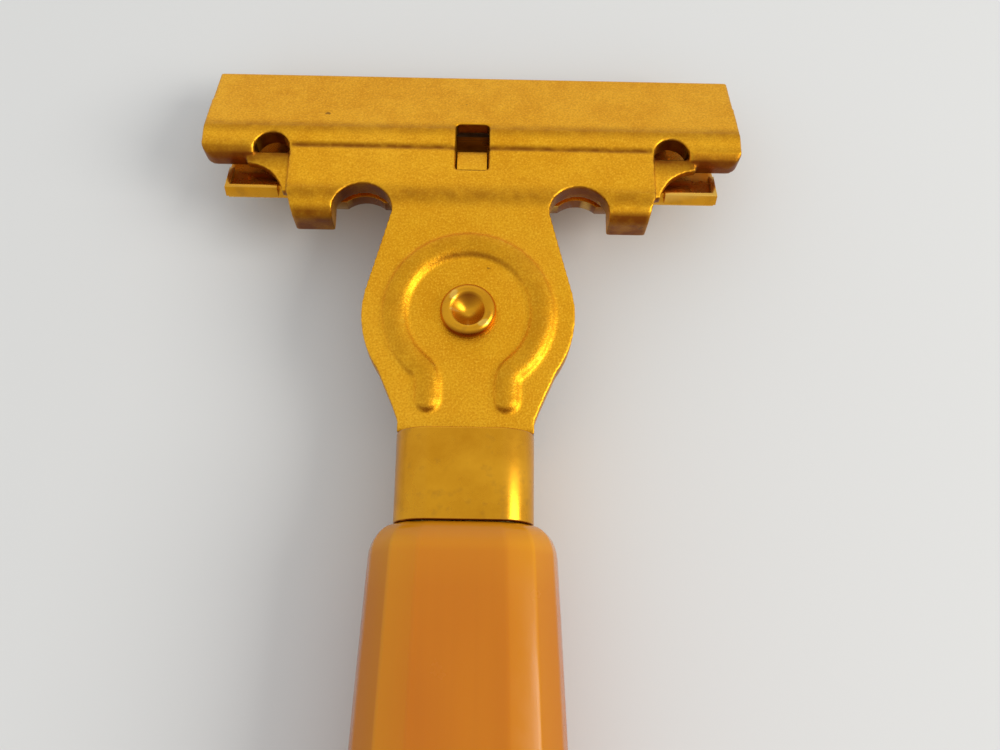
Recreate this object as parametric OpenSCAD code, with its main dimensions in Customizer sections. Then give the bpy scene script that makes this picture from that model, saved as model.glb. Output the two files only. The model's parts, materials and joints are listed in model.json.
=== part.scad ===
// Cartridge razor of the side-loading single-edge kind: a T-shaped plated head with a sprung guard,
// a collar and a faceted cast-resin handle. It lies on its front, with its back facing up (+Z) and
// its head towards +Y. Sizes are in millimetres.
// Modules are drawn with y = 0 at the collar's upper rim and z = 0 on the handle's axis; place()
// then moves everything so that the origin is the middle of the bounding box, on the table.

/* [Head] */
// Width of the cap, end to end
cap_w = 42; // [36:0.5:46]
// Length of the cap's sloping face, crease to front edge
cap_len = 7.1; // [6.6:0.1:9]
// How far the cap slopes down from the handle's axis
cap_slope = 22.6; // [18:0.1:26]
// Thickness of the cap
cap_t = 0.9; // [0.6:0.1:1.2]
// Thickness of the frame's plate
plate_t = 1.8; // [1.4:0.1:2.2]
// Radius of the frame's round middle
disc_r = 7.8; // [6.8:0.1:9]
// Half width of the neck between the notches
neck_half = 5.95; // [5:0.05:6.5]
// Half width of the T-shaped plate
tee_half = 14.1; // [13.6:0.1:17]
// Radius of the two notches beside the neck
notch_r = 2.28; // [1.8:0.02:2.6]
// Mid radius of the horseshoe ridge
ridge_r = 5.4; // [4.8:0.1:5.8]

/* [Guard] */
// Width of the guard plate
guard_w = 38.2; // [34:0.2:42]
// Thickness of the guard plate
guard_t = 1.2; // [0.8:0.1:1.5]
// Radius of the solid guard bar
bar_r = 0.75; // [0.5:0.05:1]
// Gap between the frame and the guard plate at the disc
plate_gap = 0.6; // [0.5:0.05:1]

/* [Blade] */
// Length of the blade
blade_len = 38.1; // [30:0.1:40]
// Width of the blade
blade_w = 6.4; // [6:0.1:8]
// Thickness of the blade
blade_t = 0.25; // [0.2:0.01:0.4]

/* [Handle] */
// Width of the collar
collar_w = 9.66; // [9:0.1:12]
// Depth of the collar, front to back
collar_d = 8.48; // [8:0.1:11]
// Length of the collar
collar_len = 6.4; // [5.5:0.1:10]
// Wall of the collar
collar_wall = 0.55; // [0.4:0.05:0.8]
// Length of the handle
handle_len = 66; // [50:1:90]
// Width of the handle just below its shoulder
handle_top_w = 12.7; // [11:0.1:15]
// Width of the handle at its widest
handle_max_w = 15.5; // [13:0.1:19]
// Depth of the handle just below its shoulder
handle_top_d = 10.4; // [9.6:0.1:13]
// Depth of the handle at its deepest
handle_max_d = 11.7; // [10.4:0.1:15]
// Radius of the threaded stud
stud_r = 1.5; // [1.2:0.1:1.7]

/* [Hidden] */
$fn = 64;
eps = 0.01;

// Clearances
fit_gap = 0.05;       // between pieces that only touch
slide_gap = 0.03;     // each side of the blade
rock_gap = 0.16;      // each side of the guard plate at its rivet
hole_gap = 0.15;      // round the rivet, in the guard plate's hole
side_gap = 0.15;      // round the guide tab, in its slot

// Levels through the disc
disc_top = 2.2;
disc_under = disc_top - plate_t;
guard_top = disc_under - plate_gap;
guard_under = guard_top - guard_t;

// Places along the razor
disc_y = 9.1;
notch_y = 17.3;
bend_y = 18.6;
lug_end_y = 16.9;
tee_slope = 7.8;
tee_len = 4.5;
band_len = 1.65;
band_slope = 5;
tee_top_y = bend_y + tee_len * cos(tee_slope);
tee_top_z = disc_top - tee_len * sin(tee_slope);
crease_y = tee_top_y + band_len * cos(band_slope);
crease_z = tee_top_z - band_len * sin(band_slope);

// Cap, with its ends and relief cuts
cap_end_low = 22.2;
end_top_z = tee_top_z + (tee_top_y - cap_end_low - 0.8) * tan(band_slope);
cap_end_under = -0.4;
cap_corner = 1.0;
line_w = 0.42;
cap_end_taper = 0.15;
stop_h = 0.5;
relief_r = 1.38;
relief_x = tee_half + relief_r + 0.05;
relief_y = 22.8;
slot_half = 1.3;
slot_low = 21.0;
slot_high = 25.35;
web_w = 3.4;
web_t = 0.8;
web_under = disc_under - 0.25;
web_top_y = 22.75;

// Lugs of the T-shaped plate
notch_x = neck_half + notch_r;
lug_inner = notch_x + notch_r;
lug_outer = tee_half - 0.6;
lug_round = 1.2;
lug_under = -0.9;
lug_back_y = notch_y + 1.45;

// Horseshoe ridge
ridge_w = 1.85;
ridge_h = 0.45;
foot_x = 2.82;
foot_end_y = 1.85;
foot_angle = asin(foot_x / ridge_r);
channel_w = 1.4;
channel_depth = 0.5;
strip_t = 0.35;
strip_gap = 0.15;

// Rivet
rivet_y = disc_y;
rivet_r = 1.25;
rivet_rim_r = 1.43;
rivet_rim_tube = 0.62;
rivet_head_h = 0.45;
dimple_r = 1.1;
spacer_r = 2.0;
washer_r = 2.6;
washer_t = 0.4;
front_head_r = 2.1;
front_head_h = 0.8;

// Blade and cap depths, measured square to the cap's face
blade_depth = cap_t + slide_gap;
blade_back = 1.35;
guard_depth = blade_depth + blade_t + 1.82;
guard_low_s = -3.6;
lip_t = 1.0;
lip_s = blade_back + blade_w + 0.2;
bar_s = lip_s + lip_t / 2 + 0.25;
bar_depth = blade_depth + blade_t + bar_r + 0.2;
tab_half = slot_half - side_gap;
tab_recess = 0.35;
rim_w = 0.4;
rim_h = 0.3;
rim_len = 2.4;
wing_x = tee_half + 0.95;
wing_len = 0.6;
wing_t = 0.6;
guard_wide_y = lug_back_y + 0.3;
guard_wide_len = 2.3;

// Leaf spring under the blade
leaf_t = 0.35;
leaf_w = 3.2;
leaf_s = 2.6;
leaf_base_half = 6.2;
leaf_tip_half = 16.5;
leaf_pad = 2.0;
leaf_rivet_x = 4.0;
leaf_rivet_r = 0.7;
leaf_head_r = 1.15;
leaf_head_h = 0.45;

// Tail, tang and collar
tail_half = 4.1;
tail_len = 4.6;
collar_corner = 2.5;
tang_corner = collar_corner - collar_wall;
tang_w = collar_w - 2 * collar_wall - 2 * fit_gap;
tang_d = collar_d - 2 * collar_wall - 2 * fit_gap;
boss_r = 3.2;
boss_len = 8;
pin_r = 0.6;
pin_x = 2.4;
pin_y = -2.4;

// Handle: its section is a sixteen-sided figure, given as shares of half the width and depth
facet = [[0.45, 1.0], [0.73, 0.90], [0.94, 0.62], [1.0, 0.30]];
handle_top_y = -collar_len;
handle_end_y = handle_top_y - handle_len;
swell_share = 0.62;
flat_share = 0.74;
butt_narrowing = 0.75;
shoulder_len = 2.2;
shoulder_in = 1.55;
butt_round = 1.8;
shoulder_rings = 5;
body_rings = 14;
stud_clear = 0.15;
counterbore_r = 3.4;
counterbore_len = 7;
nut_flats = 5;
nut_t = 2.4;
butt_washer_t = 0.6;
plug_t = 2.4;

// Middle of the bounding box, and the height of the handle's axis above the table
bar_front_y = crease_y + bar_s * cos(cap_slope) - bar_depth * sin(cap_slope) + bar_r;
guard_low_z = crease_z - (lip_s + lip_t) * sin(cap_slope) - (guard_depth + guard_t) * cos(cap_slope);
mid_y = (bar_front_y + handle_end_y) / 2;
lift = max(handle_max_d / 2, -guard_low_z);

module place() translate([0, -mid_y, lift]) children();

// Drawing plane of the cap: +y runs down the slope from the crease, -z goes into the head
module on_slope() translate([0, crease_y, crease_z]) rotate([-cap_slope, 0, 0]) children();

// Extrudes a side view drawn as (y, z) across the razor
module across(w) rotate([90, 0, 90]) linear_extrude(w, center = true) children();

// Turns a cylinder's axis along the razor, from y = from down to y = to
module rod(r, from, to) translate([0, from, 0]) rotate([90, 0, 0]) cylinder(r = r, h = from - to);

module mirrored() {
    children();
    mirror([1, 0, 0]) children();
}

module gold() color([0.85, 0.62, 0.20]) children();
module bright_gold() color([0.90, 0.70, 0.28]) children();
module steel() color([0.62, 0.63, 0.65]) children();
module amber() color([0.85, 0.48, 0.05]) children();

// ---- Head frame ----

// Round middle with straight flanks to the neck and to the collar
module disc_outline(inset = 0) {
    translate([0, disc_y]) circle(r = disc_r - inset);
    upper = 17;
    polygon([[-disc_r * cos(upper) + inset, disc_y + disc_r * sin(upper)], [-neck_half + inset, notch_y],
             [neck_half - inset, notch_y], [disc_r * cos(upper) - inset, disc_y + disc_r * sin(upper)]]);
    lower = -35;
    foot_half = collar_w / 2 - inset;
    polygon([[-disc_r * cos(lower) + inset, disc_y + disc_r * sin(lower)], [-foot_half - 0.45, 2.1],
             [-foot_half, 0.9], [-foot_half, 0], [foot_half, 0], [foot_half, 0.9], [foot_half + 0.45, 2.1],
             [disc_r * cos(lower) - inset, disc_y + disc_r * sin(lower)]]);
}

module notches() mirrored() translate([notch_x, notch_y]) {
    circle(r = notch_r);
    translate([-notch_r, -2]) square([2 * notch_r, 2]);
}

module tee_outline() difference() {
    union() {
        translate([-neck_half, notch_y - eps]) square([2 * neck_half, bend_y - notch_y + 1]);
        translate([-tee_half, notch_y + 1.6]) square([2 * tee_half, crease_y - notch_y - 1.6]);
        translate([-lug_inner, notch_y]) square([2 * lug_inner, 2]);
    }
    notches();
}

module lug_outline() mirrored() polygon([[lug_inner, lug_end_y], [lug_outer, lug_end_y],
                                         [tee_half, notch_y + 1.8], [lug_inner, notch_y + 1.8]]);

// Lugs at the ends of the tee, bent down beside the guard plate
module lugs() intersection() {
    linear_extrude(10, center = true) lug_outline();
    across(2 * tee_half + 1) {
        translate([lug_end_y + lug_round, disc_top - lug_round]) circle(r = lug_round);
        translate([lug_end_y + lug_round, disc_top - plate_t]) square([2, plate_t]);
        translate([lug_end_y, lug_under]) square([lug_back_y - lug_end_y, disc_top - lug_round - lug_under]);
    }
}

module tail_outline() translate([-tail_half, -tail_len]) square([2 * tail_half, tail_len + 1]);

// Side view of the bent plate: flat disc, rising tee, band
module plate_side() {
    under_tee = [tee_top_y - plate_t * sin(tee_slope), tee_top_z - plate_t * cos(tee_slope)];
    polygon([[-tail_len, disc_under], [-tail_len, disc_top], [bend_y, disc_top], [tee_top_y, tee_top_z],
             [crease_y, crease_z], [crease_y + 0.2, crease_z - cap_t], [crease_y - 0.1, crease_z - plate_t],
             under_tee, [bend_y - 0.1, disc_under]]);
}

// Raised horseshoe, flat on top
module ridge() translate([0, 0, disc_top - 0.4]) linear_extrude(0.4 + ridge_h) {
    half = ridge_w / 2;
    difference() {
        translate([0, disc_y]) circle(r = ridge_r + half);
        translate([0, disc_y]) circle(r = ridge_r - half);
        translate([-foot_x + half, 0]) square([2 * foot_x - ridge_w, disc_y]);
    }
    mirrored() translate([foot_x - half, foot_end_y])
        square([ridge_w, disc_y - ridge_r * cos(foot_angle) - foot_end_y]);
}

// Flat horseshoe of width w and height h, standing on z = 0, its feet shorter by gap
module horseshoe(w, h, gap = 0) {
    leg = disc_y - ridge_r * cos(foot_angle) - foot_end_y + 1 - 3 * gap;
    translate([0, disc_y, 0]) rotate([0, 0, foot_angle - 90])
        rotate_extrude(angle = 360 - 2 * foot_angle) translate([ridge_r - w / 2, 0]) square([w, h]);
    mirrored() translate([foot_x - w / 2, foot_end_y + gap, 0]) cube([w, leg, h]);
}

module frame_plate() difference() {
    intersection() {
        across(2 * tee_half + 2) plate_side();
        translate([0, 0, -3]) linear_extrude(8) {
            disc_outline();
            tee_outline();
            tail_outline();
        }
    }
    translate([0, 0, disc_under - eps]) horseshoe(channel_w, channel_depth + eps);
}

module cap() {
    front_half = cap_w / 2 - cap_end_taper;
    on_slope() translate([0, 0, -cap_t]) linear_extrude(cap_t)
        polygon([[-cap_w / 2, 0], [cap_w / 2, 0], [front_half, cap_len], [-front_half, cap_len]]);
    across(cap_w) polygon([[cap_end_low + 0.8, end_top_z],
        [crease_y, crease_z], [crease_y + 0.2, crease_z - cap_t], [crease_y - 0.1, cap_end_under],
        [cap_end_low, cap_end_under], [cap_end_low, end_top_z - 0.9], [cap_end_low + 0.25, end_top_z - 0.3]]);
}

// Ledge under the cap that the blade's back rests against
module blade_stop() on_slope() translate([-cap_w / 2 + 1, 0, -cap_t - stop_h])
    cube([cap_w - 2, blade_back - fit_gap, stop_h + eps]);

// Thin gusset that joins each side of the tee to the cap's end, with a hollowed lower edge
module webs() mirrored() translate([0, 0, web_under]) linear_extrude(web_t) difference() {
    translate([tee_half - 0.5, notch_y + 2]) square([web_w + 0.5, web_top_y - notch_y - 2]);
    translate([tee_half + web_w, notch_y + 1.4]) circle(r = 3);
}

// Relief arches between the tee and the cap's ends, open right through above the webs
module relief_cuts() mirrored() translate([relief_x, relief_y, web_under + web_t]) {
    cylinder(r = relief_r, h = 4);
    translate([-relief_r, -3, 0]) cube([2 * relief_r, 3, 4]);
}

module relief_windows() mirrored() intersection() {
    translate([relief_x, relief_y, -2]) cylinder(r = relief_r, h = 6);
    translate([0, web_top_y, -2]) cube([cap_w, 4, 6]);
}

// Fine line where the tee meets the band
module band_line() translate([0, tee_top_y, tee_top_z]) rotate([45, 0, 0])
    cube([2 * tee_half - 0.4, line_w / sqrt(2), line_w / sqrt(2)], center = true);

module cap_corner_cuts() mirrored() translate([cap_w / 2 - cap_corner, cap_end_low + cap_corner, -3]) difference() {
    translate([0, -cap_corner - 1, 0]) cube([cap_corner + 1, cap_corner + 1, 8]);
    cylinder(r = cap_corner, h = 8);
}

module head_frame() gold() difference() {
    union() {
        frame_plate();
        lugs();
        cap();
        blade_stop();
        webs();
        ridge();
    }
    relief_cuts();
    relief_windows();
    band_line();
    cap_corner_cuts();
    translate([-slot_half, slot_low, -2]) cube([2 * slot_half, slot_high - slot_low, 6]);
    translate([0, rivet_y, -1]) cylinder(r = rivet_r + slide_gap, h = 6);
    mirrored() translate([pin_x, pin_y, -1]) cylinder(r = pin_r, h = 6);
}

// ---- Guard ----

module guard_outline() difference() {
    union() {
        difference() {
            disc_outline(0.3);
            translate([-20, -1]) square([40, 1.6]);
        }
        translate([-neck_half + 0.3, notch_y - eps]) square([2 * neck_half - 0.6, lug_back_y - notch_y + 1]);
        translate([-lug_outer, guard_wide_y]) square([2 * lug_outer, guard_wide_len]);
    }
    notches();
}

module guard_plate() gold() difference() {
    union() {
        translate([0, 0, guard_under]) linear_extrude(guard_t) guard_outline();
        on_slope() {
            translate([-guard_w / 2, guard_low_s, -guard_depth - guard_t])
                cube([guard_w, lip_s + lip_t - guard_low_s, guard_t]);
            translate([-guard_w / 2, lip_s, -guard_depth - eps])
                cube([guard_w, lip_t, guard_depth - bar_depth]);
            guard_wings();
        }
        guide_tab();
    }
    translate([0, rivet_y, guard_under - 1]) cylinder(r = rivet_r + hole_gap, h = guard_t + 2);
    on_slope() mirrored() translate([leaf_rivet_x, leaf_s + leaf_w / 2, -guard_depth - guard_t - 1])
        cylinder(r = leaf_rivet_r, h = guard_t + 2);
    on_slope() translate([-guard_w, bar_s, -bar_depth]) rotate([0, 90, 0]) cylinder(r = bar_r + eps, h = 2 * guard_w);
}

// Thin wings beside the tee, at the guard's back edge, with a raised rim
module guard_wings() mirrored() translate([0, guard_low_s - wing_len, -guard_depth]) {
    width = guard_w / 2 - wing_x;
    translate([wing_x, 0, -wing_t]) cube([width, wing_len + eps, wing_t]);
    translate([wing_x, 0, -eps]) cube([width, rim_w, rim_h + eps]);
    translate([guard_w / 2 - rim_w, 0, -eps]) cube([rim_w, rim_len, rim_h + eps]);
}

// Tab that stands up from the guard plate in the frame's slot and guides the guard as it opens
module guide_tab() {
    tab_low = slot_low + side_gap;
    tab_high = slot_low + 2.0;
    face_z = tee_top_z + (tee_top_y - tab_low) * tan(tee_slope) - tab_recess;
    across(2 * tab_half) polygon([[tab_low, face_z], [tab_high, face_z - 0.55], [tab_high, -2], [tab_low, -1]]);
}

module guard_bar() bright_gold() on_slope() translate([0, bar_s, -bar_depth]) {
    end = guard_w / 2 - bar_r;
    rotate([0, 90, 0]) cylinder(r = bar_r, h = 2 * end, center = true);
    mirrored() translate([end, 0, 0]) sphere(r = bar_r);
}

module blade_spring() steel() on_slope() {
    low = -guard_depth;
    high = -(blade_depth + blade_t + slide_gap);
    rise = high - leaf_t;
    difference() {
        translate([0, leaf_s, 0]) rotate([90, 0, 180]) linear_extrude(leaf_w)
            polygon([[-leaf_tip_half, high], [-leaf_tip_half + leaf_pad, high], [-leaf_base_half, low + leaf_t],
                     [leaf_base_half, low + leaf_t], [leaf_tip_half - leaf_pad, high], [leaf_tip_half, high],
                     [leaf_tip_half, rise], [leaf_tip_half - leaf_pad, rise], [leaf_base_half, low],
                     [-leaf_base_half, low], [-leaf_tip_half + leaf_pad, rise], [-leaf_tip_half, rise]]);
        mirrored() translate([leaf_rivet_x, leaf_s + leaf_w / 2, low - 1]) cylinder(r = leaf_rivet_r, h = 3);
    }
}

module spring_rivets() steel() on_slope() mirrored()
    translate([leaf_rivet_x, leaf_s + leaf_w / 2, -guard_depth - guard_t]) {
        cylinder(r = leaf_rivet_r, h = guard_t + leaf_t);
        translate([0, 0, guard_t + leaf_t]) button(leaf_head_r, leaf_head_h);
        mirror([0, 0, 1]) button(leaf_head_r, leaf_head_h);
    }

// Low domed head of radius r and height h, standing on z = 0
module button(r, h) {
    ball_r = (r * r + h * h) / (2 * h);
    intersection() {
        translate([0, 0, h - ball_r]) sphere(r = ball_r);
        cylinder(r = r, h = h);
    }
}

module blade() steel() on_slope() translate([0, blade_back, -blade_depth - blade_t]) {
    ground = 0.9;
    across(blade_len) polygon([[0, 0], [blade_w - ground, 0], [blade_w, blade_t / 2 - eps],
                               [blade_w, blade_t / 2 + eps], [blade_w - ground, blade_t], [0, blade_t]]);
}

// ---- Rivet and clamp spring ----

module center_rivet() gold() translate([0, rivet_y, 0]) {
    washer_under = guard_under - rock_gap - washer_t;
    difference() {
        union() {
            translate([0, 0, washer_under]) cylinder(r = rivet_r, h = disc_top - washer_under + eps);
            translate([0, 0, disc_top]) cylinder(r = rivet_rim_r, h = rivet_head_h);
            translate([0, 0, disc_top + rivet_rim_tube / 2])
                intersection() {
                    rotate_extrude() translate([rivet_rim_r, 0]) circle(r = rivet_rim_tube);
                    translate([0, 0, -rivet_rim_tube / 2]) cylinder(r = 4, h = 3);
                }
            translate([0, 0, washer_under]) mirror([0, 0, 1]) button(front_head_r, front_head_h);
        }
        translate([0, 0, disc_top - 0.1]) cylinder(r1 = 0.1, r2 = dimple_r, h = 1.2);
    }
}

module spacer_collar() steel() translate([0, rivet_y, guard_top + rock_gap]) difference() {
    cylinder(r = spacer_r, h = plate_gap - rock_gap);
    translate([0, 0, -1]) cylinder(r = rivet_r + slide_gap, h = 4);
}

module rivet_washer() gold() translate([0, rivet_y, guard_under - rock_gap - washer_t]) difference() {
    cylinder(r = washer_r, h = washer_t);
    translate([0, 0, -1]) cylinder(r = rivet_r + slide_gap, h = 4);
}

// Bowed horseshoe spring: its crown lies in the frame's channel and its feet press the guard's tail
module clamp_spring() steel() {
    run = disc_y + ridge_r + channel_w / 2 - foot_end_y;
    rise = channel_depth + plate_gap - strip_t - 2 * fit_gap;
    translate([0, foot_end_y, guard_top + fit_gap]) rotate([atan(rise / run), 0, 0])
        translate([0, -foot_end_y, 0]) horseshoe(channel_w - 2 * strip_gap, strip_t, strip_gap);
}

// ---- Tang, collar and handle ----

module rounded_box(w, d, r) {
    square([w - 2 * r, d], center = true);
    square([w, d - 2 * r], center = true);
    for (sx = [-1, 1], sz = [-1, 1]) translate([sx * (w / 2 - r), sz * (d / 2 - r)]) circle(r = r);
}

module along(from, to) translate([0, from, 0]) rotate([90, 0, 0]) linear_extrude(from - to) children();

module collar() bright_gold() difference() {
    along(0, -collar_len) rounded_box(collar_w, collar_d, collar_corner);
    along(1, -collar_len - 1) rounded_box(collar_w - 2 * collar_wall, collar_d - 2 * collar_wall, tang_corner);
}

module tang_block() bright_gold() difference() {
    union() {
        along(-0.3, -collar_len) rounded_box(tang_w, tang_d, tang_corner);
        rod(boss_r, -collar_len + eps, -collar_len - boss_len);
    }
    translate([-tail_half - 1, -tail_len - fit_gap, disc_under - fit_gap])
        cube([2 * tail_half + 2, tail_len + 1, plate_t + 2 * fit_gap]);
    rod(stud_r, -collar_len - 1, -collar_len - boss_len - 1);
    mirrored() translate([pin_x, pin_y, -10]) cylinder(r = pin_r, h = 20);
}

module tang_pins() steel() mirrored() translate([pin_x, pin_y, -tang_d / 2 + 0.2]) cylinder(r = pin_r, h = tang_d - 0.4);

// Swell of the handle from its shoulder to its butt, 0 to 1
function swell(share) = share < swell_share ? sin(90 * share / swell_share)
                      : share < flat_share ? 1
                      : 1 - butt_narrowing * (1 - cos(90 * (share - flat_share) / (1 - flat_share))) ;

// How much an end rounded over len and drawn in by depth takes off, at distance along from the end
function round_off(along, len, depth) = along >= len ? 0 : depth * (1 - sqrt(max(0, 1 - pow(1 - along / len, 2))));

// Distances along the handle at which its section is drawn
stations = concat([for (i = [0:shoulder_rings - 1]) shoulder_len * (1 - cos(90 * i / shoulder_rings))],
                  [for (i = [0:body_rings]) shoulder_len + (handle_len * flat_share - shoulder_len) * i / body_rings],
                  [for (i = [1:body_rings / 2]) handle_len * flat_share
                      + (handle_len * (1 - flat_share) - butt_round) * 2 * i / body_rings],
                  [for (i = [1:shoulder_rings]) handle_len - butt_round * (1 - sin(90 * i / shoulder_rings))]);

function half_size(along, top, widest) = (top + (widest - top) * swell(along / handle_len)) / 2
    - round_off(along, shoulder_len, shoulder_in) - round_off(handle_len - along, butt_round, butt_round);

// The four facet corners of one quarter, mirrored round the section
quarter_signs = [[1, 1, false], [1, -1, true], [-1, -1, false], [-1, 1, true]];
function section_corner(q, i) = let (s = quarter_signs[q], f = facet[s[2] ? 3 - i : i]) [s[0] * f[0], s[1] * f[1]];
corners = [for (q = [0:3], i = [0:3]) section_corner(q, i)];

module handle_shell() {
    n = len(corners);
    rings = len(stations);
    points = [for (a = stations, c = corners) [c[0] * half_size(a, handle_top_w, handle_max_w),
                                                handle_top_y - a,
                                                c[1] * half_size(a, handle_top_d, handle_max_d)]];
    sides = [for (k = [0:rings - 2], i = [0:n - 1], half = [0, 1])
        let (a = k * n + i, b = k * n + (i + 1) % n) half == 0 ? [a, b, a + n] : [b, b + n, a + n]];
    ends = [[for (i = [n - 1:-1:0]) i], [for (i = [0:n - 1]) (rings - 1) * n + i]];
    polyhedron(points, concat(sides, ends));
}

module handle() amber() difference() {
    handle_shell();
    rod(boss_r + fit_gap, handle_top_y + 1, handle_top_y - boss_len - fit_gap);
    rod(stud_r + stud_clear, handle_top_y, handle_end_y - 1);
    rod(counterbore_r, handle_end_y + counterbore_len, handle_end_y - 1);
}

nut_face_y = handle_end_y + counterbore_len;
module handle_stud() steel() rod(stud_r, -collar_len - 1, nut_face_y - butt_washer_t - nut_t - 0.4);

module butt_washer() bright_gold() difference() {
    rod(counterbore_r - fit_gap, nut_face_y, nut_face_y - butt_washer_t);
    rod(stud_r + slide_gap, nut_face_y + 1, nut_face_y - 2);
}

module stud_nut() bright_gold() difference() {
    along(nut_face_y - butt_washer_t, nut_face_y - butt_washer_t - nut_t)
        circle(r = nut_flats / 2 / cos(30), $fn = 6);
    rod(stud_r, nut_face_y, nut_face_y - 6);
}

module butt_plug() amber() rod(counterbore_r - slide_gap, handle_end_y + plug_t, handle_end_y);

place() head_frame();
place() guard_plate();
place() guard_bar();
place() blade_spring();
place() spring_rivets();
place() blade();
place() center_rivet();
place() spacer_collar();
place() rivet_washer();
place() clamp_spring();
place() tang_block();
place() tang_pins();
place() collar();
place() handle();
place() handle_stud();
place() butt_washer();
place() stud_nut();
place() butt_plug();
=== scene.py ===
"""The single-edge razor's finished look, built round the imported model.

The CAD model holds every piece at its real size. Here the stamped head, the guard, the collar, the
rivet, the faceted handle and its plug get finished meshes, and every piece gets its material.
"""

import json
import math

import bpy
from mathutils import Euler, Matrix, Vector

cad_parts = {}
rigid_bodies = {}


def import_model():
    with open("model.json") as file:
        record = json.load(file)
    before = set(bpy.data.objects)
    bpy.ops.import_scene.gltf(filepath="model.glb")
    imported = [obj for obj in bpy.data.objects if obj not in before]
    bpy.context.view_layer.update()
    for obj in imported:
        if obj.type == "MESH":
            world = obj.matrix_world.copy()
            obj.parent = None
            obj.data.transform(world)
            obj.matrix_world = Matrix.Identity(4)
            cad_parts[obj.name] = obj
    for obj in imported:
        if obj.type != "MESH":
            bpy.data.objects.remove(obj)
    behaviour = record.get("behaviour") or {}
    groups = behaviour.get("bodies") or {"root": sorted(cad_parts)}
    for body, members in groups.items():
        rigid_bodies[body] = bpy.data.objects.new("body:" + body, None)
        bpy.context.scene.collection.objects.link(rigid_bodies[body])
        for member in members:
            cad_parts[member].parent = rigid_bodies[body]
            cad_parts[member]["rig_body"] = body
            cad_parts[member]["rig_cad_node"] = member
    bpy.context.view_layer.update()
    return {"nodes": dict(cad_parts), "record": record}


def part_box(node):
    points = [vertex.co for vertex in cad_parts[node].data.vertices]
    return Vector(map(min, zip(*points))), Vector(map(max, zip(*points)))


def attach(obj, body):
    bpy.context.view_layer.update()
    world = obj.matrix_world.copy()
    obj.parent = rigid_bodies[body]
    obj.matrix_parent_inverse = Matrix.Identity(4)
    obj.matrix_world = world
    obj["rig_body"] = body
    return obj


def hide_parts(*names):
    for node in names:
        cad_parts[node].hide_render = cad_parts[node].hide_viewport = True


MM = 0.001

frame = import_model()
nodes = frame["nodes"]

# ---- Places that the finished pieces take from the model ----

collar_low, collar_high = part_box("collar")
handle_low, handle_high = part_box("handle")
rivet_low, rivet_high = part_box("center_rivet")
plug_low, plug_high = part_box("butt_plug")
rim_y = collar_high.y  # the collar's upper rim
axis_z = (collar_low.z + collar_high.z) / 2  # the handle's axis
rivet_y = (rivet_low.y + rivet_high.y) / 2
disc_z = axis_z + 2.2 * MM  # the head's back face round the rivet

FROSTED, POLISHED, BARE_BRASS = "frosted_gold", "polished_gold", "bare_brass"
SPRING_STEEL, BLADE_STEEL, AMBER = "spring_steel", "blade_steel", "amber_resin"


# ---- Working tools ----


def deselect_everything():
    bpy.ops.object.select_all(action="DESELECT")


def make_active(piece):
    deselect_everything()
    piece.select_set(True)
    bpy.context.view_layer.objects.active = piece


def edit(piece, mode="VERT"):
    make_active(piece)
    bpy.ops.object.mode_set(mode="EDIT")
    bpy.ops.mesh.select_mode(type=mode)
    bpy.ops.mesh.select_all(action="DESELECT")


def leave_edit():
    bpy.ops.object.mode_set(mode="OBJECT")


def select_where(piece, elements, test):
    """Selects the vertices, edges or faces that pass a test, in edit mode."""
    bpy.ops.mesh.select_all(action="DESELECT")
    bpy.ops.object.mode_set(mode="OBJECT")
    for element in getattr(piece.data, elements):
        element.select = bool(test(element))
    bpy.ops.object.mode_set(mode="EDIT")


def apply_modifier(piece, kind, **settings):
    make_active(piece)
    modifier = piece.modifiers.new(kind.title(), kind)
    for name, value in settings.items():
        setattr(modifier, name, value)
    bpy.ops.object.modifier_apply(modifier=modifier.name)


def settle(piece, smooth_angle=None):
    """Puts the piece's place into its mesh, closes its seams and turns its faces outwards."""
    make_active(piece)
    bpy.ops.object.transform_apply(location=True, rotation=True, scale=True)
    bpy.ops.object.mode_set(mode="EDIT")
    bpy.ops.mesh.select_all(action="SELECT")
    bpy.ops.mesh.remove_doubles(threshold=0.001 * MM)
    bpy.ops.mesh.normals_make_consistent(inside=False)
    bpy.ops.object.mode_set(mode="OBJECT")
    if smooth_angle is None:
        bpy.ops.object.shade_smooth()
    else:
        bpy.ops.object.shade_smooth_by_angle(angle=math.radians(smooth_angle))


def copy_of_node(node, name):
    """A merged copy of a CAD node's mesh, to be finished as a piece of its own."""
    piece = nodes[node].copy()
    piece.data = nodes[node].data.copy()
    piece.name = piece.data.name = name
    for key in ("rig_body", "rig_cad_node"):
        if key in piece:
            del piece[key]
    bpy.context.scene.collection.objects.link(piece)
    piece.parent = None
    piece.matrix_world = Matrix.Identity(4)
    make_active(piece)
    bpy.ops.object.mode_set(mode="EDIT")
    bpy.ops.mesh.select_all(action="SELECT")
    bpy.ops.mesh.remove_doubles(threshold=0.002 * MM)
    bpy.ops.object.mode_set(mode="OBJECT")
    return piece


def soften(piece, grain, rounds):
    """Rounds every edge of a stamped piece, as tumbling and plating do."""
    apply_modifier(piece, "REMESH", mode="VOXEL", voxel_size=grain, adaptivity=0.0)
    apply_modifier(piece, "SMOOTH", factor=0.5, iterations=rounds)
    make_active(piece)
    bpy.ops.object.shade_smooth()


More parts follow.
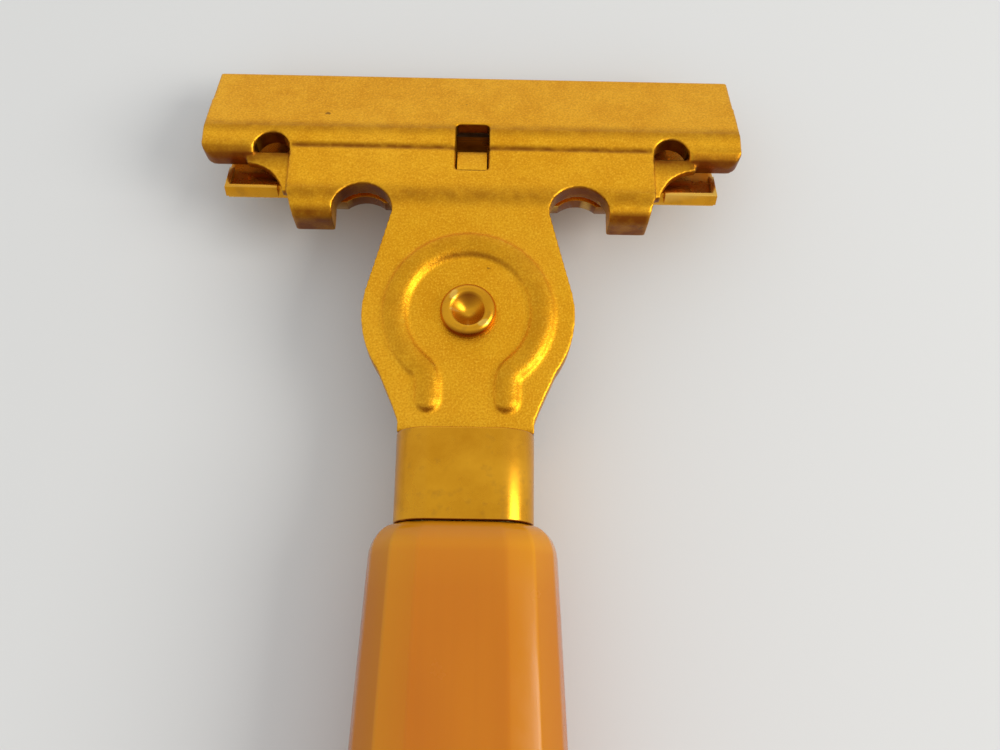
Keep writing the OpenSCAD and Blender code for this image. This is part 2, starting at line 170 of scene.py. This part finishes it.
def wire(name, points, centre):
    """A chain of edges through points, which are in metres from centre."""
    bpy.ops.mesh.primitive_plane_add(size=MM, location=centre)
    piece = bpy.context.object
    piece.name = piece.data.name = name
    edit(piece)
    bpy.ops.mesh.select_all(action="SELECT")
    bpy.ops.mesh.merge(type="CENTER")
    bpy.ops.mesh.select_all(action="SELECT")
    place = Vector((0, 0, 0))
    for point in points:
        bpy.ops.mesh.extrude_region_move(TRANSFORM_OT_translate={"value": point - place})
        place = point
    select_where(piece, "vertices", lambda v: v.index == 0)
    bpy.ops.mesh.delete(type="VERT")
    leave_edit()
    return piece


def turned(name, outline, centre, axis=(0, 0, 1), steps=64):
    """A turned piece: (radius, height) points in millimetres, spun about an axis through centre."""
    along = Vector(axis)
    points = [(Vector((radius, 0, 0)) + along * height) * MM for radius, height in outline]
    piece = wire(name, points, centre)
    edit(piece)
    bpy.ops.mesh.select_all(action="SELECT")
    bpy.ops.mesh.spin(steps=steps, angle=math.tau, center=centre, axis=axis)
    leave_edit()
    return piece


def round_edges(piece, width, sharper_than):
    """Rounds the edges that turn by more than an angle in degrees."""
    apply_modifier(
        piece, "BEVEL", width=width, segments=3, limit_method="ANGLE",
        angle_limit=math.radians(sharper_than),
    )


def edge_run(piece, edge):
    """How far an edge runs along the razor."""
    start, end = (piece.data.vertices[i].co for i in edge.vertices)
    return abs((start - end).y)


def finish_piece(piece, body, slot, *replaced):
    """Puts the piece on its body and hides the nodes that it stands for; the slot argument is not used."""
    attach(piece, body)
    if replaced:
        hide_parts(*replaced)
    return piece


# ---- Head: one soft-edged stamping ----

# Horseshoe ridge, in millimetres from the rivet
RIDGE_RADIUS, RIDGE_WIDTH, RIDGE_HEIGHT = 5.4, 1.9, 0.45
LEG_X, FOOT_DROP, BEND_RADIUS = 2.82, 6.6, 1.6
BEND_STEPS, ARC_STEPS = 10, 40
# Stretch of the disc, up from the collar's rim, whose ridge is pressed flat before the bead is added
FLAT_FROM_Y, FLAT_TO_Y, RAISED_BY = 1.5 * MM, 16.5 * MM, 0.02 * MM
STAMPING_GRAIN, SMOOTHING_ROUNDS = 0.155 * MM, 3


def ridge_path():
    """Half of the horseshoe's path: a straight leg, a bend outwards, and the arc to its top."""
    bend_x = LEG_X + BEND_RADIUS
    drop = math.sqrt((RIDGE_RADIUS + BEND_RADIUS) ** 2 - bend_x ** 2)
    start = math.atan2(bend_x, drop)
    bend = [math.pi + (start - math.pi / 2) * i / BEND_STEPS for i in range(BEND_STEPS + 1)]
    arc = [start + (math.pi - start) * i / ARC_STEPS for i in range(1, ARC_STEPS + 1)]
    return (
        [(LEG_X, -FOOT_DROP)]
        + [(bend_x + BEND_RADIUS * math.cos(a), BEND_RADIUS * math.sin(a) - drop) for a in bend]
        + [(RIDGE_RADIUS * math.sin(a), -RIDGE_RADIUS * math.cos(a)) for a in arc]
    )


def make_ridge():
    """The pressed horseshoe: a half-round bead with rounded feet, to be joined to the head."""
    right = ridge_path()
    left = [(-x, y) for x, y in reversed(right[:-1])]
    path = [Vector((x, y, 0)) * MM for x, y in right + left]
    centre = Vector((0, rivet_y, disc_z))
    bead = wire("ridge_bead", path, centre)
    make_active(bead)
    bpy.ops.object.convert(target="CURVE")
    bead_radius = RIDGE_WIDTH / 2 * MM
    bead.data.bevel_depth = bead_radius
    bead.data.bevel_resolution = 5
    bead.data.use_fill_caps = True
    bpy.ops.object.convert(target="MESH")
    feet = []
    for side in (-1, 1):
        place = centre + Vector((side * LEG_X, -FOOT_DROP, 0)) * MM
        bpy.ops.mesh.primitive_uv_sphere_add(
            segments=24, ring_count=16, radius=bead_radius, location=place
        )
        feet.append(bpy.context.object)
    make_active(bead)
    for foot in feet:
        foot.select_set(True)
    bpy.ops.object.join()
    edit(bead)
    bpy.ops.mesh.select_all(action="SELECT")
    bpy.ops.transform.resize(value=(1, 1, 2 * RIDGE_HEIGHT / RIDGE_WIDTH), center_override=centre)
    leave_edit()
    return bead


def make_head():
    """The stamping with its edges rounded; the horseshoe is pressed flat and raised again as a bead."""
    piece = copy_of_node("head_frame", "head_stamping")
    edit(piece)
    select_where(
        piece, "vertices",
        lambda v: v.co.z > disc_z + RAISED_BY and rim_y + FLAT_FROM_Y < v.co.y < rim_y + FLAT_TO_Y,
    )
    bpy.ops.transform.resize(value=(1, 1, 0), center_override=(0, rivet_y, disc_z))
    leave_edit()
    bead = make_ridge()
    make_active(piece)
    bead.select_set(True)
    bpy.ops.object.join()
    soften(piece, STAMPING_GRAIN, SMOOTHING_ROUNDS)
    return finish_piece(piece, "razor", FROSTED, "head_frame")


def make_guard():
    """The guard plate with its stamped edges rounded."""
    piece = copy_of_node("guard_plate", "guard_stamping")
    round_edges(piece, 0.16 * MM, sharper_than=35)
    settle(piece, smooth_angle=32)
    return finish_piece(piece, "guard", POLISHED, "guard_plate")


def make_rivet():
    """The whole rivet: low front head, shank, and a rounded rim round a conical dimple on the back."""
    shank, front_radius, front_height = 1.25, 2.1, 0.8
    rim_radius, rim_thickness, rim_height, rim_rise = 1.53, 0.52, 0.34, 0.55
    low = (rivet_low.z - disc_z) / MM
    ball = (front_radius ** 2 + front_height ** 2) / (2 * front_height)
    front = [
        (r, low + ball - math.sqrt(ball ** 2 - r ** 2))
        for r in [front_radius * i / 8 for i in range(9)]
    ]
    stem = [(shank, low + front_height), (shank, -0.05), (rim_radius + rim_thickness - 0.06, 0.02)]
    rim = [
        (rim_radius + rim_thickness * math.cos(a), rim_height + rim_rise * math.sin(a))
        for a in [math.radians(d) for d in range(-15, 121, 15)]
    ]
    dimple = [(1.14, 0.66), (0.92, 0.44), (0.6, 0.16), (0.28, -0.02), (0.0, -0.08)]
    piece = turned("domed_rivet", front + stem + rim + dimple, (0, rivet_y, disc_z))
    settle(piece, smooth_angle=50)
    return finish_piece(piece, "razor", POLISHED, "center_rivet")


# ---- Collar: a rectangular tube with rounded corners and fine rolled rims ----


COLLAR_CORNER, COLLAR_WALL, COLLAR_RIM_ROUND = 2.5 * MM, 0.55 * MM, 0.14 * MM


def make_collar():
    """The tube: a block with its long edges rounded, opened at both ends and given a wall."""
    size = collar_high - collar_low
    centre = (collar_low + collar_high) / 2
    bpy.ops.mesh.primitive_cube_add(size=1, location=centre, scale=size)
    piece = bpy.context.object
    piece.name = piece.data.name = "collar_sleeve"
    make_active(piece)
    bpy.ops.object.transform_apply(location=True, rotation=True, scale=True)
    edit(piece, "EDGE")
    select_where(piece, "edges", lambda e: edge_run(piece, e) > size.y / 2)
    bpy.ops.mesh.bevel(offset=COLLAR_CORNER, segments=12, affect="EDGES", profile=0.5)
    select_where(piece, "polygons", lambda p: abs(p.normal.y) > 0.9)
    bpy.ops.mesh.delete(type="FACE")
    leave_edit()
    settle(piece)
    apply_modifier(piece, "SOLIDIFY", thickness=COLLAR_WALL, offset=-1, use_even_offset=True)
    round_edges(piece, COLLAR_RIM_ROUND, sharper_than=60)
    settle(piece, smooth_angle=40)
    return finish_piece(piece, "razor", POLISHED, "collar")


# ---- Handle: sixteen facets, cast and polished ----

FACETS = [(0.45, 1.0), (0.73, 0.90), (0.94, 0.62), (1.0, 0.30)]  # corners of one quarter
SHOULDER_LENGTH, SHOULDER_IN, BUTT_ROUND = 2.2 * MM, 1.55 * MM, 1.8 * MM
TOP_SIZE = (12.7 * MM, 10.4 * MM)
WIDEST_SIZE = (15.5 * MM, 11.7 * MM)
FULL_SWELL, SWELL_END, BUTT_SHARE = 0.62, 0.74, 0.25
FACET_SOFTNESS, ROUND_STEPS, BODY_STEPS = 0.2 * MM, 8, 26
# Bores along the handle, in millimetres
BOSS_BORE, BOSS_DEPTH, STUD_BORE, RECESS_RADIUS, RECESS_DEPTH = 3.25, 8.05, 1.65, 3.4, 7.0


def swell(share):
    """Part of the full widening at a share of the length down: 0 at the top, 1 at the swell."""
    if share < FULL_SWELL:
        return math.sin(math.pi / 2 * share / FULL_SWELL)
    if share < SWELL_END:
        return 1.0
    return 1 - (1 - BUTT_SHARE) * (1 - math.cos(math.pi / 2 * (share - SWELL_END) / (1 - SWELL_END)))


def round_off(along, length, depth):
    """How far an elliptical shoulder stands in, at a distance along from its end."""
    if along >= length:
        return 0.0
    return depth * (1 - math.sqrt(max(0.0, 1 - (1 - along / length) ** 2)))


def handle_half(along, axis):
    """Half the handle's width (axis 0) or depth (axis 1), at a distance down from its top."""
    length = handle_high.y - handle_low.y
    full = TOP_SIZE[axis] + (WIDEST_SIZE[axis] - TOP_SIZE[axis]) * swell(along / length)
    return (
        full / 2
        - round_off(along, SHOULDER_LENGTH, SHOULDER_IN)
        - round_off(length - along, BUTT_ROUND, BUTT_ROUND)
    )


def handle_stations():
    """Distances down from the handle's top at which its section is set."""
    length = handle_high.y - handle_low.y
    turn, straight = math.pi / 2 / ROUND_STEPS, length - SHOULDER_LENGTH - BUTT_ROUND
    shoulder = [SHOULDER_LENGTH * (1 - math.cos(turn * i)) for i in range(ROUND_STEPS)]
    body = [SHOULDER_LENGTH + straight * i / BODY_STEPS for i in range(BODY_STEPS + 1)]
    butt = [length - BUTT_ROUND * (1 - math.sin(turn * i)) for i in range(1, ROUND_STEPS + 1)]
    return shoulder + body + butt


def make_handle():
    """The faceted handle: one section drawn down station by station, softened and bored."""
    quarter = FACETS + [(x, -z) for x, z in reversed(FACETS)]
    corners = quarter + [(-x, -z) for x, z in quarter]
    stations = handle_stations()
    bpy.ops.mesh.primitive_circle_add(
        vertices=len(corners), radius=1, fill_type="NGON", location=(0, handle_high.y, axis_z),
        rotation=(math.pi / 2, 0, 0),
    )
    piece = bpy.context.object
    piece.name = piece.data.name = "faceted_handle"
    make_active(piece)
    bpy.ops.object.transform_apply(location=True, rotation=True, scale=True)
    width, depth = handle_half(0, 0), handle_half(0, 1)
    for vertex, (x, z) in zip(piece.data.vertices, corners):
        vertex.co = (x * width, handle_high.y, axis_z + z * depth)
    edit(piece, "FACE")
    bpy.ops.mesh.select_all(action="SELECT")
    for before, along in zip(stations, stations[1:]):
        y = handle_high.y - along
        bpy.ops.mesh.extrude_region_move(TRANSFORM_OT_translate={"value": (0, before - along, 0)})
        grow = [handle_half(along, axis) / handle_half(before, axis) for axis in (0, 1)]
        bpy.ops.transform.resize(value=(grow[0], 1, grow[1]), center_override=(0, y, axis_z))
    bpy.ops.mesh.select_mode(type="EDGE")
    select_where(piece, "edges", lambda e: edge_run(piece, e) > 0.01 * MM)
    bpy.ops.mesh.bevel(offset=FACET_SOFTNESS, segments=3, affect="EDGES", clamp_overlap=True)
    leave_edit()
    settle(piece)
    bore_handle(piece)
    settle(piece, smooth_angle=35)
    return finish_piece(piece, "razor", AMBER, "handle")


def bore_handle(piece):
    """Bores the handle for the tang's boss, the stud and the nut's recess."""
    length = (handle_high.y - handle_low.y) / MM
    boss_end, past = length - BOSS_DEPTH, 1.0
    outline = [
        (0, -past), (RECESS_RADIUS, -past), (RECESS_RADIUS, RECESS_DEPTH), (STUD_BORE, RECESS_DEPTH),
        (STUD_BORE, boss_end), (BOSS_BORE, boss_end), (BOSS_BORE, length + past), (0, length + past),
    ]
    cutter = turned("handle_bore", outline, (0, handle_low.y, axis_z), axis=(0, 1, 0))
    settle(cutter)
    apply_modifier(piece, "BOOLEAN", object=cutter, operation="DIFFERENCE", solver="EXACT")
    bpy.data.objects.remove(cutter)


def make_butt_plug():
    """Plug in the butt's recess, with a chamfered edge and a shallow dished face."""
    size, centre = plug_high - plug_low, (plug_low + plug_high) / 2
    radius, length, dish, step = size.x / 2 / MM, size.y / MM, 0.18, 0.12
    outline = [
        (0, dish), (radius - 1.65, dish), (radius - 0.85, step), (radius - 0.25, 0),
        (radius, 0), (radius, length), (0, length),
    ]
    piece = turned("dished_plug", outline, (centre.x, plug_low.y, centre.z), axis=(0, 1, 0))
    round_edges(piece, 0.16 * MM, sharper_than=60)
    settle(piece, smooth_angle=35)
    return finish_piece(piece, "razor", AMBER, "butt_plug")


head = make_head()
guard = make_guard()
rivet = make_rivet()
collar = make_collar()
handle = make_handle()
plug = make_butt_plug()


# ---- Materials ----

GOLD, GOLD_PALE, GOLD_DEEP = (0.84, 0.40, 0.014), (0.95, 0.51, 0.035), (0.74, 0.33, 0.010)
GOLD_SHADE, GOLD_PAINTED_SHADE, GOLD_DEEP_PAINTED_SHADE = (0.55, 0.22, 0.008), (0.26, 0.085, 0.005), (0.17, 0.036, 0.004)
GOLD_SPECK = (0.16, 0.06, 0.01)
PLATE, PLATE_DEEP, PLATE_EDGE, PLATE_SPOT = (
    (0.74, 0.345, 0.018), (0.60, 0.25, 0.010), (0.86, 0.55, 0.12), (0.42, 0.19, 0.02)
)
BRASS, BRASS_DULL = (0.68, 0.48, 0.18), (0.48, 0.32, 0.10)
RESIN, RESIN_DEEP, RESIN_CLOUD = (0.54, 0.165, 0.0006), (0.47, 0.125, 0.0004), (0.55, 0.175, 0.0006)
RESIN_STREAK, RESIN_PAINTED_LIT_FACET, RESIN_PAINTED_SIDE_SHADE = (0.42, 0.12, 0.001), (0.60, 0.225, 0.0006), (0.34, 0.075, 0.0005)
RESIN_PAINTED_SHOULDER_SHADE, RESIN_PAINTED_HIGHLIGHT, RESIN_SPOT = (0.34, 0.08, 0.0005), (0.80, 0.38, 0.012), (0.18, 0.05, 0.001)
TEE_HALF = 14.1 * MM  # half the width of the tee below the cap
TAB_HALF, TAB_LOW, TAB_HIGH = 1.4 * MM, 21.0 * MM, 23.3 * MM  # the guard's guide tab, in its slot
# Places up from the collar's rim that bound the painted shade: the notch, the bends, the step line, the
# cap's ends and the webs
NOTCH_Y, FOLD_Y, TEE_TOP_Y = 17.3 * MM, 18.6 * MM, 23.06 * MM
CREASE_Y, CAP_END_Y, WEB_TOP_Y = 24.75 * MM, 22.2 * MM, 22.75 * MM


class Finish:
    """A material's node tree, with short names for the nodes that the finishes share."""

    def __init__(self, name):
        self.material = bpy.data.materials.new(name)
        self.material.use_nodes = True
        self.tree = self.material.node_tree
        self.shader = self.tree.nodes["Principled BSDF"]
        self.place = self.node("ShaderNodeTexCoord").outputs["Object"]
        self.facing = self.node("ShaderNodeTexCoord").outputs["Normal"]
        self.height = None

    def node(self, kind, **settings):
        made = self.tree.nodes.new(kind)
        for key, value in settings.items():
            setattr(made, key, value)
        return made

    def link(self, output, socket):
        self.tree.links.new(output, socket)

    def set(self, **values):
        for key, value in values.items():
            self.shader.inputs[key.replace("_", " ")].default_value = value

    def stretched(self, x, y, z):
        mapping = self.node("ShaderNodeMapping")
        mapping.inputs["Scale"].default_value = (x, y, z)
        self.link(self.place, mapping.inputs["Vector"])
        return mapping.outputs["Vector"]

    def noise(self, scale, detail=2.0, roughness=0.5, distortion=0.0, place=None):
        made = self.node("ShaderNodeTexNoise")
        made.inputs["Scale"].default_value = scale
        made.inputs["Detail"].default_value = detail
        made.inputs["Roughness"].default_value = roughness
        made.inputs["Distortion"].default_value = distortion
        self.link(place or self.place, made.inputs["Vector"])
        return made.outputs["Fac"]

    def range(self, value, low, high, to_low=0.0, to_high=1.0, smooth=False):
        made = self.node("ShaderNodeMapRange")
        if smooth:
            made.interpolation_type = "SMOOTHSTEP"
        self.link(value, made.inputs["Value"])
        for key, number in (("From Min", low), ("From Max", high), ("To Min", to_low), ("To Max", to_high)):
            made.inputs[key].default_value = number
        return made.outputs["Result"]

    def math(self, operation, a, b=None):
        made = self.node("ShaderNodeMath", operation=operation)
        for socket, value in zip(made.inputs, (a, b)):
            if value is None:
                continue
            if isinstance(value, (int, float)):
                socket.default_value = value
            else:
                self.link(value, socket)
        return made.outputs[0]

    def times(self, first, *others):
        """The product of several values."""
        for other in others:
            first = self.math("MULTIPLY", first, other)
        return first

    def most(self, first, *others):
        """The greatest of several values."""
        for other in others:
            first = self.math("MAXIMUM", first, other)
        return first

    def sharpness(self):
        """0.5 on a flat face, more on a ridge and less in a hollow."""
        return self.node("ShaderNodeNewGeometry").outputs["Pointiness"]

    def mix(self, factor, a, b):
        made = self.node("ShaderNodeMix", data_type="RGBA")
        for socket, value in zip((made.inputs["Factor"], made.inputs[6], made.inputs[7]), (factor, a, b)):
            if isinstance(value, (int, float)):
                socket.default_value = value
            elif isinstance(value, tuple):
                socket.default_value = (*value, 1)
            else:
                self.link(value, socket)
        return made.outputs[2]

    def bump(self, value, depth, strength=1.0):
        made = self.node("ShaderNodeBump")
        made.inputs["Distance"].default_value = depth
        made.inputs["Strength"].default_value = strength
        self.link(value, made.inputs["Height"])
        if self.height:
            self.link(self.height, made.inputs["Normal"])
        self.height = made.outputs["Normal"]
        self.link(self.height, self.shader.inputs["Normal"])

    def colour(self, value):
        self.link(value, self.shader.inputs["Base Color"])

    def roughness(self, value):
        self.link(value, self.shader.inputs["Roughness"])

    def along(self, axis):
        return self.part_of(self.place, axis)

    def turned_to(self, axis):
        """How far the surface faces an axis, -1 to 1."""
        return self.part_of(self.facing, axis)

    def part_of(self, vector, axis):
        made = self.node("ShaderNodeSeparateXYZ")
        self.link(vector, made.inputs[0])
        return made.outputs[axis]

    def band(self, value, middle, half_width):
        """1 in the middle of a band, fading to 0 half_width away from it."""
        away = self.math("ABSOLUTE", self.math("SUBTRACT", value, middle))
        return self.range(away, 0.0, half_width, 1.0, 0.0, smooth=True)


def web_shade(f, y, z, side):
    """Shade on the webs beside the tee, deepening towards the cap that stands over them."""
    web_top = rim_y + WEB_TOP_Y
    return f.times(
        f.range(side, TEE_HALF, TEE_HALF + 0.1 * MM),
        f.range(side, TEE_HALF + 3.5 * MM, TEE_HALF + 3.2 * MM),
        f.range(z, axis_z + 1.25 * MM, axis_z + 1.1 * MM),
        f.range(y, web_top - 1.7 * MM, web_top - 0.2 * MM),
        f.range(y, web_top + 0.6 * MM, web_top + 0.5 * MM),
    )


def frosted_gold():
    """Gold plating over a sandblasted surface: fine bright grain, painted shade along the bends, the step
    line, the cap's ends, the raised bead, the collar joint and the hollows.
    """
    f = Finish(FROSTED)
    f.set(Metallic=1.0)
    grain = f.noise(6800, detail=2, roughness=0.6)
    mottle = f.noise(520, detail=4, roughness=0.6)
    cloud = f.noise(90, detail=3)
    base = f.mix(f.range(mottle, 0.35, 0.68), GOLD_DEEP, GOLD)
    base = f.mix(f.range(cloud, 0.4, 0.7, 0.0, 0.4), base, GOLD_PALE)
    base = f.mix(f.range(grain, 0.36, 0.52, 0.42, 0.0), base, GOLD_SHADE)
    base = f.mix(f.range(grain, 0.54, 0.68, 0.0, 0.7), base, GOLD_PALE)
    y, z, side = f.along("Y"), f.along("Z"), f.math("ABSOLUTE", f.along("X"))
    on_tee = f.range(side, TEE_HALF - 0.2 * MM, TEE_HALF, 1.0, 0.0)
    past_tee = f.range(side, TEE_HALF + 2.6 * MM, TEE_HALF + 3.4 * MM)
    below_tee = f.range(y, rim_y + NOTCH_Y, rim_y + NOTCH_Y - 0.6 * MM)
    # Painted shade: bands along the bends and the tee's step line, under the cap's ends, on the raised bead
    # and at the joint with the collar
    fold = f.times(f.band(y, rim_y + FOLD_Y, 1.3 * MM), 0.6)
    crease = f.times(f.band(y, rim_y + CREASE_Y, 0.9 * MM), 0.55)
    line = f.times(f.band(y, rim_y + TEE_TOP_Y, 0.45 * MM), on_tee)
    cap_end = rim_y + CAP_END_Y
    ends = f.times(f.range(y, cap_end + 1.5 * MM, cap_end, 0.0, 0.85), past_tee)
    raised = f.times(f.range(z, disc_z + 0.1 * MM, disc_z + 0.4 * MM, 0.0, 0.3), below_tee)
    joint = f.times(f.band(y, rim_y, 0.5 * MM), 0.9)
    # Here stain holds only painted shade, its strength varied by noise
    stain = f.most(fold, crease, line, ends, raised, joint)
    stain = f.times(stain, f.range(f.noise(1100, detail=3), 0.3, 0.6, 0.55, 1.0))
    base = f.mix(stain, base, GOLD_PAINTED_SHADE)
    # Deeper painted shade on faces turned towards the handle and on the webs under the cap
    towards_handle = f.range(f.turned_to("Y"), -0.25, -0.72, 0.0, 0.95)
    deep_painted_shade = f.most(towards_handle, web_shade(f, y, z, side))
    deep_painted_shade = f.times(deep_painted_shade, f.range(f.noise(800, detail=3), 0.3, 0.6, 0.75, 1.0))
    base = f.mix(deep_painted_shade, base, GOLD_DEEP_PAINTED_SHADE)
    edge = f.sharpness()
    base = f.mix(f.range(edge, 0.51, 0.60, 0.0, 0.35), base, GOLD_PALE)
    # Painted shade in hollows, where the surface turns inwards
    base = f.mix(f.range(edge, 0.485, 0.42, 0.0, 0.75), base, GOLD_PAINTED_SHADE)
    base = f.mix(f.range(f.noise(700, detail=2), 0.75, 0.78, 0.0, 0.7), base, GOLD_SPECK)
    f.colour(base)
    rough = f.range(mottle, 0.3, 0.7, 0.5, 0.4)
    f.roughness(f.math("SUBTRACT", rough, f.range(edge, 0.52, 0.60, 0.0, 0.12)))
    f.bump(grain, 0.03 * MM, 0.8)
    f.bump(mottle, 0.05 * MM, 0.25)
    return f.material


def polished_gold():
    """Smooth gold plating, worn and smudged by hands, with painted shade on inner faces turned towards the
    handle.
    """
    f = Finish(POLISHED)
    f.set(Metallic=1.0)
    smudge = f.noise(260, detail=4, roughness=0.6)
    spots = f.noise(900, detail=3, roughness=0.6)
    scratch = f.noise(900, detail=2, place=f.stretched(6, 0.5, 6))
    base = f.mix(f.range(smudge, 0.35, 0.7), PLATE_DEEP, PLATE)
    base = f.mix(f.range(spots, 0.56, 0.7, 0.0, 0.4), base, PLATE_SPOT)
    inside = f.range(f.math("ABSOLUTE", f.along("X")), TEE_HALF - 1.5 * MM, TEE_HALF, 1.0, 0.0)
    # Painted shade on the faces inside the tee that turn towards the handle
    deep_painted_shade = f.times(f.range(f.turned_to("Y"), -0.3, -0.75, 0.0, 0.9), inside)
    base = f.mix(deep_painted_shade, base, GOLD_DEEP_PAINTED_SHADE)
    edge = f.sharpness()
    base = f.mix(f.range(edge, 0.53, 0.62, 0.0, 0.6), base, PLATE_EDGE)
    f.colour(base)
    f.roughness(f.range(smudge, 0.3, 0.7, 0.2, 0.34))
    f.bump(scratch, 0.01 * MM, 0.2)
    f.bump(f.noise(1500, detail=2), 0.01 * MM, 0.25)
    return f.material


def bare_brass():
    """Unplated brass of the inner pieces, unevenly dulled."""
    f = Finish(BARE_BRASS)
    f.set(Metallic=1.0)
    stain = f.noise(600, detail=4, roughness=0.65)
    f.colour(f.mix(f.range(stain, 0.35, 0.7), BRASS_DULL, BRASS))
    f.roughness(f.range(stain, 0.3, 0.7, 0.3, 0.5))
    f.bump(stain, 0.02 * MM, 0.3)
    return f.material


def steel(name, light, dark, smooth, rough, grain_scale):
    """Steel with a fine grain drawn across the razor."""
    f = Finish(name)
    f.set(Metallic=1.0)
    grain = f.noise(grain_scale, detail=3, place=f.stretched(0.15, 3, 3))
    stain = f.noise(500, detail=4)
    f.colour(f.mix(f.range(stain, 0.35, 0.7), dark, light))
    f.roughness(f.range(grain, 0.3, 0.7, smooth, rough))
    f.bump(grain, 0.006 * MM, 0.12)
    return f.material


def amber_resin():
    """Cast amber resin with slow swirls along the handle and fine polishing lines, with painted light and
    shade on the facets, the shoulder and the facet edges.
    """
    f = Finish(AMBER)
    f.set(Roughness=0.2, Coat_Weight=0.08, Coat_Roughness=0.06, IOR=1.5, Specular_IOR_Level=0.25)
    f.set(Subsurface_Weight=0.08, Subsurface_Radius=(1.0, 0.35, 0.05), Subsurface_Scale=1.2 * MM)
    swirl = f.noise(60, detail=2, distortion=1.0, place=f.stretched(1.0, 0.3, 1.0))
    cloud = f.noise(30, detail=2, place=f.stretched(1.0, 0.5, 1.0))
    streak = f.noise(1400, detail=2, place=f.stretched(1.0, 0.02, 1.0))
    base = f.mix(f.range(swirl, 0.35, 0.68), RESIN_DEEP, RESIN)
    base = f.mix(f.range(cloud, 0.35, 0.7, 0.0, 0.4), base, RESIN_CLOUD)
    base = f.mix(f.range(streak, 0.45, 0.75, 0.0, 0.15), base, RESIN_STREAK)
    # Painted light and shade by facet: the middle bevels lighter, the sides darker
    tilt = f.math("ABSOLUTE", f.turned_to("X"))
    base = f.mix(f.range(tilt, 0.14, 0.32, 0.0, 0.4), base, RESIN_PAINTED_LIT_FACET)
    base = f.mix(f.range(tilt, 0.55, 0.85, 0.0, 0.75), base, RESIN_PAINTED_SIDE_SHADE)
    # Painted shade on the shoulder, where the handle turns in under the collar
    shoulder = f.range(f.along("Y"), handle_high.y - 1.6 * MM, handle_high.y, 0.0, 0.7)
    base = f.mix(shoulder, base, RESIN_PAINTED_SHOULDER_SHADE)
    edge = f.sharpness()
    # Painted highlights along the facet edges
    base = f.mix(f.range(edge, 0.505, 0.53, 0.0, 0.5), base, RESIN_PAINTED_HIGHLIGHT)
    base = f.mix(f.range(f.noise(520, detail=3), 0.74, 0.77, 0.0, 0.7), base, RESIN_SPOT)
    f.colour(base)
    haze = f.noise(300, detail=4, roughness=0.6)
    f.roughness(f.range(haze, 0.35, 0.7, 0.14, 0.28))
    f.bump(streak, 0.01 * MM, 0.25)
    f.bump(haze, 0.03 * MM, 0.12)
    return f.material


def paint(piece, material):
    piece.data.materials.clear()
    piece.data.materials.append(material)


finishes = {
    FROSTED: frosted_gold(),
    POLISHED: polished_gold(),
    BARE_BRASS: bare_brass(),
    SPRING_STEEL: steel(SPRING_STEEL, (0.26, 0.15, 0.08), (0.13, 0.065, 0.03), 0.3, 0.46, 2200),
    BLADE_STEEL: steel(BLADE_STEEL, (0.62, 0.63, 0.65), (0.54, 0.55, 0.57), 0.2, 0.32, 2400),
    AMBER: amber_resin(),
}
for row in frame["record"]["subparts"]:
    paint(nodes[row["node"]], finishes[row["material_slot"]])
paint(head, finishes[FROSTED])
for piece in (guard, rivet, collar):
    paint(piece, finishes[POLISHED])
for piece in (handle, plug):
    paint(piece, finishes[AMBER])
guard.data.materials.append(finishes[FROSTED])
for face in guard.data.polygons:
    on_tab = abs(face.center.x) < TAB_HALF and rim_y + TAB_LOW < face.center.y < rim_y + TAB_HIGH
    face.material_index = 1 if on_tab and face.center.z > axis_z else 0


# ---- Stage, camera and light ----


def make_floor():
    """A pale matt table."""
    bpy.ops.mesh.primitive_plane_add(size=1.6, location=(0, 0, -0.02 * MM))
    floor = bpy.context.object
    floor.name = "floor"
    material = bpy.data.materials.new("pale_table")
    material.use_nodes = True
    shader = material.node_tree.nodes["Principled BSDF"]
    shader.inputs["Base Color"].default_value = (0.66, 0.655, 0.64, 1)
    shader.inputs["Roughness"].default_value = 1.0
    shader.inputs["Specular IOR Level"].default_value = 0.0
    floor.data.materials.append(material)


def make_camera():
    """The camera over the head, looking down the razor's back."""
    data = bpy.data.cameras.new("camera")
    camera = bpy.data.objects.new("camera", data)
    bpy.context.scene.collection.objects.link(camera)
    bpy.context.scene.camera = camera
    data.sensor_width = 36
    data.lens = 37.08
    data.clip_start = MM
    tilt, roll, swing = 17.889, -0.963, 0.708  # degrees from straight down
    turn = Euler([math.radians(angle) for angle in (tilt, roll, swing)])
    place = Vector((1.47 * MM, rim_y - 18.233 * MM, axis_z + 72.148 * MM))
    camera.matrix_world = Matrix.LocRotScale(place, turn, None)


def area_light(name, place, aim, size, power, colour):
    data = bpy.data.lights.new(name, "AREA")
    data.shape = "RECTANGLE"
    data.size, data.size_y = size
    data.energy = power
    data.color = colour
    lamp = bpy.data.objects.new(name, data)
    bpy.context.scene.collection.objects.link(lamp)
    lamp.location = place
    lamp.rotation_euler = (Vector(aim) - Vector(place)).to_track_quat("-Z", "Y").to_euler()


def make_light():
    """A soft window lamp from the side, a weak one from behind the head, and an even room."""
    aim = (0, 0.015, 0)
    area_light("window", (0.36, -0.06, 0.28), aim, (0.24, 0.24), 1.2, (1.0, 0.98, 0.94))
    area_light("back", (-0.05, 0.50, 0.28), aim, (0.45, 0.30), 0.1, (1.0, 0.99, 0.97))
    world = bpy.data.worlds.new("room")
    bpy.context.scene.world = world
    world.use_nodes = True
    background = world.node_tree.nodes["Background"]
    background.inputs["Color"].default_value = (0.96, 0.98, 1.0, 1)
    background.inputs["Strength"].default_value = 0.82
    bpy.context.scene.view_settings.view_transform = "Standard"


make_floor()
make_camera()
make_light()
